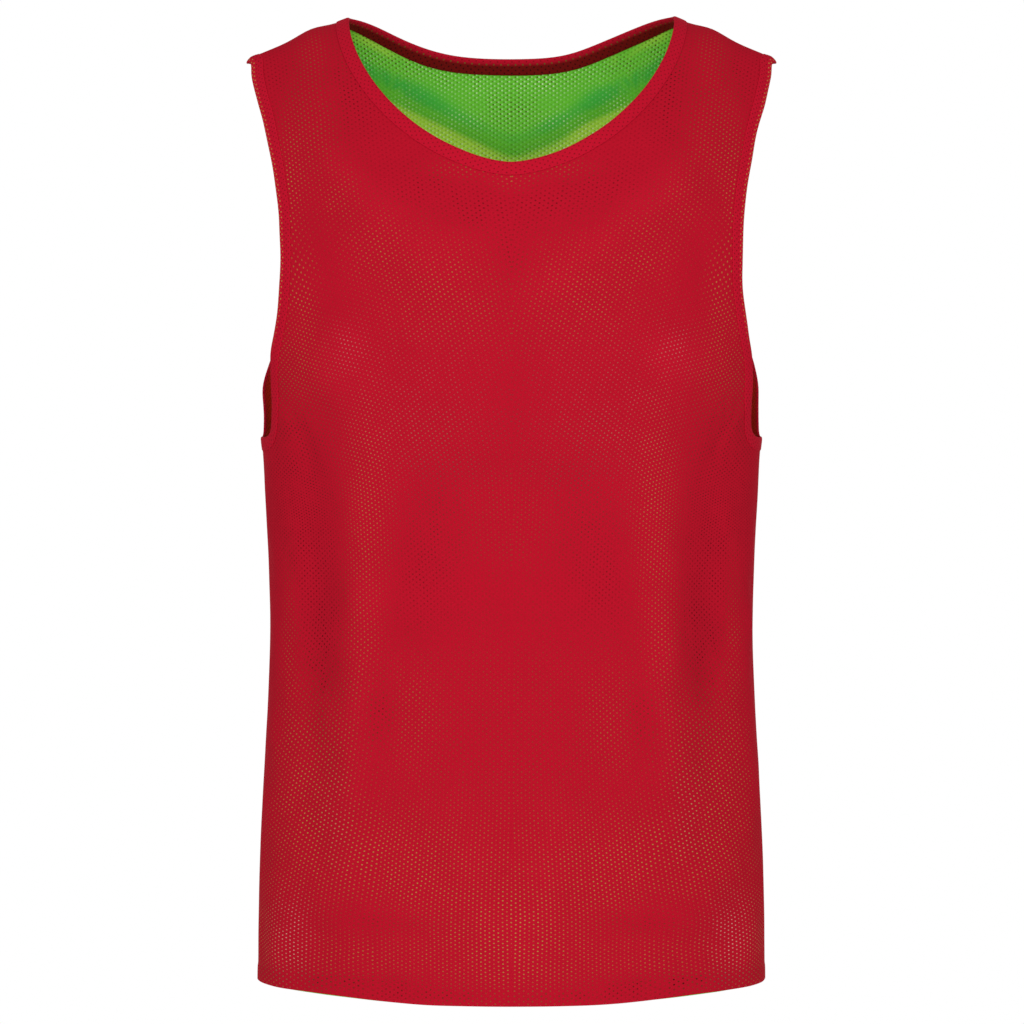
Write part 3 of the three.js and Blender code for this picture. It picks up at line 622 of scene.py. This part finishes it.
# One layer of one side: its hem, its body and a narrow lip along each seam. Outwards is 1 for the
# red layer and -1 for the green one, and longer is how far its hem shows below.
def addPanel(side, layer, material, outwards, longer):
    turn, drop, inGrid = layOut(side)
    folds = len(hemProfile)
    height = np.concatenate([hemProfile[:, 0], np.zeros(topRow + 1)])
    offset = np.concatenate([hemProfile[:, 1], np.full(topRow + 1, bibShape["layerMiddle"])])
    hemTurn = np.repeat(turn[:, :1], folds, axis=1)
    showing = longer * np.exp(-((hemTurn - hemShape["longerAt"]) / hemShape["longerWidth"]) ** 2)
    hemDrop = hemPlaces(side, hemTurn, height[None, :folds] - showing)
    turn = np.concatenate([hemTurn, turn], 1)
    drop = np.concatenate([hemDrop, drop], 1)
    inGrid = np.concatenate([np.ones(hemTurn.shape, bool), inGrid], 1)
    offset = np.broadcast_to(offset, turn.shape)

    turn = np.concatenate([-turn[:0:-1], turn])
    drop, inGrid, offset = (np.concatenate([a[:0:-1], a]) for a in (drop, inGrid, offset))
    point = foldedPoint(side, turn, drop)
    normal = normalOf(foldedPoint, side, turn, drop)
    onSeam = np.zeros(turn.shape, bool)
    onSeam[[0, -1]] = True
    onSeam[:, -1] = True
    towards = bibSides[side]["towards"]
    point[onSeam, 1] = towards * seamShape["shift"]
    normal[onSeam, 1] = 0
    normal = unit(normal)
    flatAcross, flatUp = drawnCloth(side, *clothAt(side, turn, drop))
    plySteps = np.linalg.norm(np.diff(hemProfile[::-1], axis=0), axis=1)
    profilePath = np.concatenate([[0], np.cumsum(plySteps)])
    flatUp[:, :folds] = flatUp[:, folds:folds + 1] - hemShape["firstCell"] - profilePath[::-1]
    if outwards < 0:
        flatAcross = flatAcross + eyelets["slip"]
    cloth = np.stack([flatAcross, flatUp], -1)
    shows = behindEyelets(side, point)
    rise = clothRise(side, turn, bibShape["neckPointHeight"] - point[..., 2], drop)
    outer = point + normal * (offset * outwards)[..., None]
    lip = point + normal * (offset * outwards * seamShape["lipOffset"])[..., None]
    lip[..., 1] = towards * seamShape["lipShift"]

    count = turn.size
    number = np.arange(count).reshape(turn.shape)
    cells = np.stack([number[:-1, :-1], number[1:, :-1], number[1:, 1:], number[:-1, 1:]], -1)
    middle = lastColumn
    lastIndex = 2 * lastColumn
    i, j = np.meshgrid(np.arange(lastIndex), np.arange(turn.shape[1] - 1), indexing="ij")
    nearer = np.minimum(np.abs(i - middle), np.abs(i + 1 - middle))
    farther = np.maximum(np.abs(i - middle), np.abs(i + 1 - middle))
    inside = (nearer >= neckColumn) | (j < neckRow + folds)
    inside &= (farther <= armColumn) | (j < armRow + folds)
    cells = cells[inside]
    mirror = np.where(i[inside] < middle, -1, 1)
    seams = [number[0, :armRow + folds + 1], number[-1, :armRow + folds + 1][::-1],
             number[middle - armColumn:middle - neckColumn + 1, -1],
             number[middle + neckColumn:middle + armColumn + 1, -1]]
    for seam in seams:
        strip = np.stack([seam[:-1], seam[1:], seam[1:] + count, seam[:-1] + count], -1)
        half = 1 if point.reshape(-1, 3)[seam[0], 0] > 0 else -1
        cells = np.concatenate([cells, strip])
        mirror = np.concatenate([mirror, np.full(len(strip), half)])
    points = np.concatenate([outer.reshape(-1, 3), lip.reshape(-1, 3)])
    flat = np.concatenate([cloth.reshape(-1, 2)] * 2)
    shows = np.concatenate([shows.reshape(-1, 3)] * 2)
    rise = np.concatenate([rise.ravel()] * 2)
    # Both layers are cut into the same triangles, and one half of a panel is the other's mirror image.
    cells = np.where(mirror[:, None] < 0, cells[:, [1, 2, 3, 0]], cells)
    cells = np.concatenate([cells[:, [0, 1, 2]], cells[:, [0, 2, 3]]])
    mirror = np.concatenate([mirror, mirror])
    if towards * outwards > 0:
        cells = cells[:, ::-1]
    used, cells = np.unique(cells, return_inverse=True)
    cells = cells.reshape(-1, 3)
    name = f"{side}_{layer}_mesh"
    corners = flat[used][cells]
    corners[..., 0] *= mirror[:, None]
    fields = {"behindEyelets": shows[used], "clothRise": rise[used]}
    return makePiece(name, points[used], cells, corners, f"{side}_{layer}", material, fields)


# A binding is folded over both layers: its section runs from the outer leaf's folded edge round the
# edge of the cloth to the inner leaf, and back inside, as distances inwards from the edge and
# offsets. At the back of the neck the inner leaf is deeper, by a share, and stands off a little more.
bandShape = {"reach": 13, "steps": 6, "pitch": 3, "deeperAtBack": 0.28, "looserAtBack": 0.35,
             "backFrom": (5, 40), "thicker": {"neck": 1.2, "left": 1, "right": 1}}
bandLeaf = [(9.6, 0.56), (9.56, 0.78), (9.2, 0.98), (8.4, 1.1), (7.2, 1.16), (5.8, 1.2), (4.2, 1.22),
            (2.6, 1.22), (1.4, 1.18), (0.5, 1.06), (-0.1, 0.84), (-0.5, 0.54), (-0.66, 0.2)]
bandInside = [(8, -0.8), (4, -0.82), (0.3, -0.8), (0.3, 0.8), (4, 0.82), (8, 0.8)]
bandSection = bandLeaf + [(inwards, -offset) for inwards, offset in bandLeaf[::-1]] + bandInside
bandEyelets = {"neck": 5.6, "left": 4.2, "right": 4.2, "down": 3.7}     # the size of their cells
openEyelets = (225, 260)     # below these levels the green no longer shows through the armhole's edge


# Points and normals of the cloth at each station of a half edge, for each step inwards.
def bandRows(side, name, half):
    edge = edges[side, name]
    total = edge["length"][-1]
    lengths = np.linspace(0, total, round(total / bandShape["pitch"]) + 1)
    clothSide = 1 if name == "neck" else -1
    rows = []
    for turn, drop in placesInside(edge, lengths, bandShape["reach"], bandShape["steps"], clothSide):
        turn, drop = turn.copy(), drop.copy()
        drop[-1] = 0
        turn[0] = 0 if name == "neck" else quarterTurn
        point = foldedPoint(side, turn * half, drop)
        normal = normalOf(foldedPoint, side, turn * half, drop)
        ends = [-1] if name == "neck" else [0, -1]
        point[ends, 1] = 0
        normal[ends, 1] = 0
        rows.append(np.stack([point, unit(normal)]))
    return np.stack(rows)


def joined(first, second):
    return np.concatenate([first[:, :, :-1], second], axis=2)


def ringOf(name):
    parts = []
    if name == "neck":
        for half in (1, -1):
            parts.append(joined(bandRows("front", name, half), bandRows("back", name, half)[:, :, ::-1]))
        return joined(parts[0], parts[1][:, :, ::-1])[:, :, :-1]
    half = -1 if name == "left" else 1
    ring = joined(bandRows("front", "armhole", half), bandRows("back", "armhole", half)[:, :, ::-1])
    return ring[:, :, :-1]


def addBand(name, node, material):
    thicker = bandShape["thicker"][name]
    ring = ringOf(name)
    points, normals = ring[:, 0], ring[:, 1]
    edgePoint = points[0]
    tangent = unit(np.roll(edgePoint, -1, 0) - np.roll(edgePoint, 1, 0))
    outwards = unit(np.cross(tangent, normals[0]))
    flip = np.sign((outwards * (edgePoint - points[-1])).sum(-1, keepdims=True))
    outwards = outwards * flip
    stations = len(edgePoint)
    station = np.arange(stations)
    atBack = smoothStep(edgePoint[:, 1], *bandShape["backFrom"]) if name == "neck" else np.zeros(stations)
    rows = []
    for inwards, offset in bandSection:
        deeper = 1 + bandShape["deeperAtBack"] * atBack * (offset < 0)
        at = max(0, inwards) * deeper / bandShape["reach"] * bandShape["steps"]
        low = np.minimum(at.astype(int), bandShape["steps"] - 1)
        part = (at - low)[:, None]
        base = points[low, station] * (1 - part) + points[low + 1, station] * part
        normal = unit(normals[low, station] * (1 - part) + normals[low + 1, station] * part)
        away = offset * thicker - bandShape["looserAtBack"] * atBack[:, None] * (offset < 0)
        rows.append(base + normal * away + outwards * max(0, -inwards))
    size = len(rows)
    vertices = np.stack(rows, 1).reshape(-1, 3)
    k, m = np.meshgrid(np.arange(stations), np.arange(size), indexing="ij")
    nextK, nextM = (k + 1) % stations, (m + 1) % size
    cells = np.stack([k * size + m, k * size + nextM, nextK * size + nextM, nextK * size + m], -1)
    path = np.array(bandSection + bandSection[:1])
    around = np.concatenate([[0], np.cumsum(np.linalg.norm(np.diff(path, axis=0), axis=1))])
    steps = np.linalg.norm(np.roll(edgePoint, -1, 0) - edgePoint, axis=1)
    along = np.concatenate([[0], np.cumsum(steps)])
    wholeEyelets = round(along[-1] / bandEyelets[name])
    along = along * wholeEyelets * bandEyelets[name] / along[-1]
    corners = np.stack([np.stack([along[k + dk], around[m + dm]], -1)
                        for dk, dm in ((0, 0), (0, 1), (1, 1), (1, 0))], -2)
    cells = cells.reshape(-1, 4)
    corners = corners.reshape(-1, 4, 2)
    a, b, c = (vertices[cells[:, n]] for n in (0, 1, 2))
    if (np.cross(b - a, c - a) * a).sum() < 0:
        cells, corners = cells[:, ::-1], corners[:, ::-1]
    level = bibShape["neckPointHeight"] - vertices[:, 2]
    fields = {"openShare": 1 - smoothStep(level, *openEyelets)}
    return makePiece(f"{node}_strip", vertices, cells, corners, node, material, fields)


def linear(hexColour):
    parts = [int(hexColour[i:i + 2], 16) / 255 for i in (0, 2, 4)]
    return tuple(c / 12.92 if c <= 0.04045 else ((c + 0.055) / 1.055) ** 2.4 for c in parts) + (1,)


# Adds a node with its settings and its inputs, as values or as links, and gives back one output.
def addNode(tree, kind, settings=None, inputs=None, output=0):
    node = tree.nodes.new(kind)
    for name, value in (settings or {}).items():
        setattr(node, name, value)
    for name, value in (inputs or {}).items():
        if isinstance(value, bpy.types.NodeSocket):
            tree.links.new(value, node.inputs[name])
        else:
            node.inputs[name].default_value = value
    return node.outputs[output]


smooth = {"interpolation_type": "SMOOTHSTEP"}
rangeInputs = ("Value", "From Min", "From Max", "To Min", "To Max")
colourMix = {"data_type": "RGBA"}     # its inputs 6 and 7 and its output 2 are colours


# How far each spot of the cloth is from the middle of the nearest eyelet, in millimetres. The
# eyelets stand in rows, and every second row is moved on by half a step.
def eyeletDistance(tree, cloth, across, down):
    lengths = []
    for shift in (0.0, 0.5):
        cell = cloth
        for operation, by in (("DIVIDE", (across, down, 1)), ("ADD", (shift, shift, 0)),
                              ("FRACTION", (0, 0, 0)), ("SUBTRACT", (0.5, 0.5, 0)),
                              ("MULTIPLY", (across, down, 0))):
            cell = addNode(tree, "ShaderNodeVectorMath", {"operation": operation}, {0: cell, 1: by})
        lengths.append(addNode(tree, "ShaderNodeVectorMath", {"operation": "LENGTH"}, {0: cell}, "Value"))
    return addNode(tree, "ShaderNodeMath", {"operation": "MINIMUM"}, {0: lengths[0], 1: lengths[1]})


# How far each spot is from the middle of the nearest knitted loop, in loops.
def loopDistance(tree, cloth, look):
    cell = addNode(tree, "ShaderNodeVectorMath", {"operation": "DIVIDE"},
                   {0: cloth, 1: (look["loop"], look["loop"] * look["loopHeight"], 1)})
    return addNode(tree, "ShaderNodeTexVoronoi", {"feature": "F1"},
                   {"Vector": cell, "Scale": 1.0, "Randomness": 0.5}, "Distance")


def finishShader(tree, look, colour, normal):
    shader = tree.nodes["Principled BSDF"]
    tree.links.new(colour, shader.inputs["Base Color"])
    tree.links.new(normal, shader.inputs["Normal"])
    shader.inputs["Roughness"].default_value = look["roughness"]
    shader.inputs["IOR"].default_value = look["ior"]
    shader.inputs["Specular IOR Level"].default_value = look["specular"]
    shader.inputs["Sheen Weight"].default_value = look["sheen"]
    shader.inputs["Sheen Roughness"].default_value = look["sheenRoughness"]
    shader.inputs["Sheen Tint"].default_value = linear(look["light"])


# Warp-knitted polyester eyelet mesh: matt filament yarn that scatters light evenly, with a faint
# sheen at a slant. The yarn bends round each eyelet, so the rim of a hole is lower, and painted shade
# darkens it. Most eyelets are filled by the other layer, which lies right behind.
def eyeletMesh(name, look):
    material = bpy.data.materials.new(name)
    material.use_nodes = True
    tree = material.node_tree
    place = addNode(tree, "ShaderNodeAttribute", {"attribute_name": "clothMillimetres"}, None, "Vector")
    fold = addNode(tree, "ShaderNodeAttribute", {"attribute_name": "clothRise"}, None, "Fac")
    shown = addNode(tree, "ShaderNodeAttribute", {"attribute_name": "behindEyelets"}, None, "Vector")
    shown = addNode(tree, "ShaderNodeSeparateXYZ", None, {0: shown}).node.outputs
    drift = addNode(tree, "ShaderNodeTexNoise", None,
                    {"Vector": place, "Scale": look["driftScale"], "Detail": 1.0}, "Color")
    for operation, by in (("SUBTRACT", (0.5, 0.5, 0.5)), ("MULTIPLY", (look["drift"], look["drift"], 0))):
        drift = addNode(tree, "ShaderNodeVectorMath", {"operation": operation}, {0: drift, 1: by})
    cloth = addNode(tree, "ShaderNodeVectorMath", {"operation": "ADD"}, {0: place, 1: drift})
    patches = addNode(tree, "ShaderNodeTexNoise", None,
                      {"Vector": cloth, "Scale": look["patchScale"], "Detail": 2.0}, "Fac")
    blotches = addNode(tree, "ShaderNodeVectorMath", {"operation": "MULTIPLY"},
                       {0: cloth, 1: look["blotchScales"]})
    blotches = addNode(tree, "ShaderNodeTexNoise", None,
                       {"Vector": blotches, "Scale": 1.0, "Detail": 3.0}, "Fac")
    away = eyeletDistance(tree, cloth, look["across"], look["down"])
    loops = loopDistance(tree, cloth, look)

    # Each share rises or falls smoothly as a value goes from low to high. The trough share paints shade
    # into the troughs of the folds, and the ridge share paints light on their ridges. The grain share
    # gives the knit its texture, darker between its loops as painted shade, and the rim share paints
    # shade round each eyelet.
    radius, rim = look["radius"], look["rim"]
    shares = {
        "paintedTroughShade": (fold, *look["troughDepths"], look["paintedFoldStrength"], 0),
        "paintedRidgeLight": (fold, *look["ridgeHeights"], 0, look["paintedFoldStrength"]),
        "grain": (loops, 0.2, 0.8, 0, look["grainy"]),
        "rim": (away, radius, radius + look["halo"], look["rimShade"], 0),
        "uneven": (blotches, 0.32, 0.68, look["faintest"], look["fullest"]),
        "eyeletRelief": (away, radius * 0.7, radius + 0.9, 0, 1),
        "loopRelief": (loops, 0.1, 0.9, 1, 0),
    }
    for kind in holeKinds:
        filling, wider, moved = look["fillings"][kind]
        spot = away
        if any(moved):
            spot = addNode(tree, "ShaderNodeVectorMath", {"operation": "ADD"}, {0: cloth, 1: moved})
            spot = eyeletDistance(tree, spot, look["across"], look["down"])
        shares[kind] = (spot, radius + wider - rim, radius + wider + rim, 1, 0)
    shares = {share: addNode(tree, "ShaderNodeMapRange", smooth, dict(zip(rangeInputs, values)))
              for share, values in shares.items()}

    # The deep colour gets lighter patches at random, then the painted shade and light, then what fills the
    # eyelets.
    layers = [(patches, look["light"]), (shares["paintedTroughShade"], look["paintedTroughShade"]),
              (shares["paintedRidgeLight"], look["paintedRidgeLight"]), (shares["grain"], look["shade"]),
              (shares["rim"], look["shade"])]
    for kind, share in zip(holeKinds, shown):
        filled = addNode(tree, "ShaderNodeMath", {"operation": "MULTIPLY"},
                         {0: shares[kind], 1: shares["uneven"]})
        filled = addNode(tree, "ShaderNodeMath", {"operation": "MULTIPLY", "use_clamp": True},
                         {0: filled, 1: share})
        layers.append((filled, look["fillings"][kind][0]))
    colour = linear(look["deep"])
    for share, over in layers:
        colour = addNode(tree, "ShaderNodeMix", colourMix, {0: share, 6: colour, 7: linear(over)}, 2)

    bump = addNode(tree, "ShaderNodeBump", None,
                   {"Height": shares["eyeletRelief"], "Distance": look["relief"] * millimetre,
                    "Strength": look["bump"]})
    finer = addNode(tree, "ShaderNodeBump", None,
                    {"Height": shares["loopRelief"], "Distance": look["loopRelief"] * millimetre,
                     "Strength": look["bump"], "Normal": bump})
    finishShader(tree, look, colour, finer)
    return material


# Sizes are in millimetres of cloth, and scales are per millimetre. Fillings say what fills the
# eyelets: the colour, how much wider than the eyelet it looks, and how far the layer behind has
# moved.
redMeshLook = {
    # Its shade colour is painted shade. Its trough and ridge colours are painted shade in the folds and
    # painted light on their ridges.
    "light": "bb1028", "deep": "b60f26", "shade": "8f0c1c", "paintedTroughShade": "9c0d20", "paintedRidgeLight": "c8142e",
    # Its second filling is painted shade: the shaded inside where the eyelets of both layers meet. Its
    # third is painted light that comes through both layers.
    "fillings": {"green": ("c09c4c", 0, (0, 0, 0)), "inShade": ("480606", 0.1, (0, 0, 0)),
                 "pale": ("d8a494", 0, (0, 0, 0))},
    "faintest": 0.35, "fullest": 1.15, "troughDepths": (-7, -1.4), "ridgeHeights": (0.6, 3.2),
    "across": eyelets["across"], "down": eyelets["down"], "radius": eyelets["radius"],
    "rim": 0.18, "halo": 0.5, "rimShade": 0.2, "grainy": 0.25, "paintedFoldStrength": 0.35, "drift": 1.2,
    "driftScale": 0.03, "patchScale": 0.02, "blotchScales": (0.16, 0.06, 0),
    "loop": 0.95,           # a knitted loop, drawn coarser than the real 0.6 mm so that it shows
    "loopHeight": 0.8,
    "relief": 0.15, "loopRelief": 0.05, "bump": 0.5,
    "roughness": 0.9, "ior": 1.5, "specular": 0.06, "sheen": 0.25, "sheenRoughness": 0.5,
}
# On the green layer the folds get stronger painted shade and painted light.
greenMeshLook = dict(
    redMeshLook, light="7bd840", deep="6fd03a", shade="4aa82c", paintedTroughShade="45c04a", paintedRidgeLight="ccf452",
    # On the green layer the first and third fillings are painted light that comes through both layers, and
    # the second is the red layer behind in painted shade.
    fillings={"green": ("e8fad0", 0.02, (1.3, 1.7, 0)), "inShade": ("4c1808", 0.09, (0, 0, 0)),
              "pale": ("e6f0d8", 0, (0, 0, 0))},
    radius=0.64, halo=0.3, paintedFoldStrength=0.95, faintest=0.5, troughDepths=(-2.6, -0.5), sheen=0.1)


# The same knit cut into strips and turned over twice. Its eyelets are dimples with more red behind
# them, painted darker as shade, but for the rows in which the two leaves leave them open to the green.
def bindingKnit(name, look):
    material = bpy.data.materials.new(name)
    material.use_nodes = True
    tree = material.node_tree
    cloth = addNode(tree, "ShaderNodeAttribute", {"attribute_name": "clothMillimetres"}, None, "Vector")
    openShare = addNode(tree, "ShaderNodeAttribute", {"attribute_name": "openShare"}, None, "Fac")
    around = addNode(tree, "ShaderNodeSeparateXYZ", None, {0: cloth}, 1)
    away = eyeletDistance(tree, cloth, look["across"], look["down"])
    loops = loopDistance(tree, cloth, look)
    blend = look["innerBlend"]
    shares = {
        "innerLeaf": (around, look["innerFrom"] - blend, look["innerFrom"] + blend, 0, 1),
        "grain": (loops, 0.2, 0.8, 0, look["grainy"]),
        "knit": (away, *look["dimple"], 0, 1),
        "relief": (away, 0.2, 1.1, 0, 1),
    }
    shares = {share: addNode(tree, "ShaderNodeMapRange", smooth, dict(zip(rangeInputs, values)))
              for share, values in shares.items()}
    openRow = addNode(tree, "ShaderNodeMath", {"operation": "COMPARE"},
                      {0: around, 1: look["openRow"], 2: look["openReach"]})
    openRow = addNode(tree, "ShaderNodeMath", {"operation": "MULTIPLY"}, {0: openRow, 1: openShare})
    light, hole = (addNode(tree, "ShaderNodeMix", colourMix,
                           {0: shares["innerLeaf"], 6: linear(look[outer]), 7: linear(look[inner])}, 2)
                   for outer, inner in (("light", "inner"), ("hole", "innerHole")))
    knit = addNode(tree, "ShaderNodeMix", colourMix, {0: shares["grain"], 6: light, 7: hole}, 2)
    hole = addNode(tree, "ShaderNodeMix", colourMix, {0: openRow, 6: hole, 7: linear(look["behind"])}, 2)
    colour = addNode(tree, "ShaderNodeMix", colourMix, {0: shares["knit"], 6: hole, 7: knit}, 2)
    bump = addNode(tree, "ShaderNodeBump", None,
                   {"Height": shares["relief"], "Distance": look["relief"] * millimetre,
                    "Strength": look["bump"]})
    finishShader(tree, look, colour, bump)
    return material


# Inner leaf and open rows are given by the way round the section from the outer leaf's edge. On the
# armhole bindings the inner leaf and its eyelets are painted lighter than the outer ones: painted light.
bindingLook = {
    "light": "c20d2a", "hole": "860a18", "inner": "fa2a22", "innerHole": "a81410", "behind": "ae843f",
    "innerFrom": 13.2, "innerBlend": 1.5, "openRow": 8.3, "openReach": 1.3,
    "across": bandEyelets["left"], "down": bandEyelets["down"], "dimple": (0.3, 0.75),
    "loop": 0.9, "loopHeight": 0.8, "grainy": 0.25, "relief": 0.12, "bump": 0.6,
    "roughness": 0.85, "ior": 1.5, "specular": 0.08, "sheen": 0.25, "sheenRoughness": 0.5,
}
shadedLook = dict(     # the neck's inner leaf lies in shade
    bindingLook, across=bandEyelets["neck"], inner="78100e", innerHole="2a0407", behind="565c20",
    innerFrom=14.9, openRow=14.8)

redMesh = eyeletMesh("redPolyesterEyeletMesh", redMeshLook)
greenMesh = eyeletMesh("greenPolyesterEyeletMesh", greenMeshLook)
redBinding = bindingKnit("redPolyesterBindingKnit", bindingLook)
shadedBinding = bindingKnit("redPolyesterBindingKnitShaded", shadedLook)
print("materials made")

for side in bibSides:
    addPanel(side, "red", redMesh, 1, 0)
    addPanel(side, "green", greenMesh, -1, hemShape["greenLonger"])
bands = [addBand("neck", "neck_band", shadedBinding),
         addBand("left", "armhole_band_left", redBinding),
         addBand("right", "armhole_band_right", redBinding)]

studio = {
    "distance": 2.5,          # from the camera to the middle of the bib
    "eyeLevel": -0.351,
    "across": 0.0004,
    "frameWidth": 0.768,      # what the picture takes in at that distance
    "floorLevel": -1.47,      # the bib hangs at the height where it is worn
    "floorRadius": 3,
    "floorCorners": 96,
    "floorColour": "efefef",
    "ambient": 0.42,
    "aim": (0, 0, -0.3),
}
# The place, size in metres and watts of each light.
softboxes = [
    ("softboxLeft", (-1.0, -2.3, 0.1), (1.4, 1.8), 22),
    ("softboxRight", (1.0, -2.3, 0.1), (1.4, 1.8), 22),
    ("softboxBehind", (0, 2.7, 0.3), (2.4, 1.8), 16),
]


# Matt floor paint, which scatters light evenly and mirrors nothing.
def floorPaint(name, hexColour):
    material = bpy.data.materials.new(name)
    material.use_nodes = True
    shader = material.node_tree.nodes["Principled BSDF"]
    shader.inputs["Base Color"].default_value = linear(hexColour)
    shader.inputs["Roughness"].default_value = 0.9
    return material


def addFloor():
    count = studio["floorCorners"]
    angles = [2 * math.pi * k / count for k in range(count)]
    points = [(studio["floorRadius"] * math.cos(a), studio["floorRadius"] * math.sin(a),
               studio["floorLevel"]) for a in angles]
    mesh = bpy.data.meshes.new("floor")
    mesh.from_pydata(points, [], [list(range(count))])
    floor = bpy.data.objects.new("floor", mesh)
    bpy.context.scene.collection.objects.link(floor)
    mesh.materials.append(floorPaint("paleFloorPaint", studio["floorColour"]))


def addSoftbox(name, place, size, watts):
    lamp = bpy.data.lights.new(name, "AREA")
    lamp.shape = "RECTANGLE"
    lamp.size, lamp.size_y = size
    lamp.energy = watts
    light = bpy.data.objects.new(name, lamp)
    light.location = place
    light.visible_camera = False
    bpy.context.scene.collection.objects.link(light)
    way = np.array(studio["aim"]) - np.array(place)
    light.rotation_euler = (math.acos(-way[2] / np.linalg.norm(way)), 0,
                            math.atan2(way[0], -way[1]) + math.pi)


def addCamera():
    lens = bpy.data.cameras.new("camera")
    lens.sensor_width = 36
    lens.lens = lens.sensor_width * studio["distance"] / studio["frameWidth"]
    camera = bpy.data.objects.new("camera", lens)
    camera.location = (studio["across"], -studio["distance"], studio["eyeLevel"])
    camera.rotation_euler = (quarterTurn, 0, 0)
    bpy.context.scene.collection.objects.link(camera)
    bpy.context.scene.camera = camera


# The camera sees a white background, and the bib is lit by a softer one.
def addWorld():
    world = bpy.data.worlds.new("studio")
    world.use_nodes = True
    tree = world.node_tree
    background = tree.nodes["Background"]
    background.inputs["Color"].default_value = (1, 1, 1, 1)
    seen = addNode(tree, "ShaderNodeLightPath", None, None, "Is Camera Ray")
    strength = addNode(tree, "ShaderNodeMapRange", None,
                       {"Value": seen, "To Min": studio["ambient"], "To Max": 1.0})
    tree.links.new(strength, background.inputs["Strength"])
    bpy.context.scene.world = world


addFloor()
addCamera()
addWorld()
for softbox in softboxes:
    addSoftbox(*softbox)
bpy.context.scene.view_settings.view_transform = "Standard"
print("studio made")
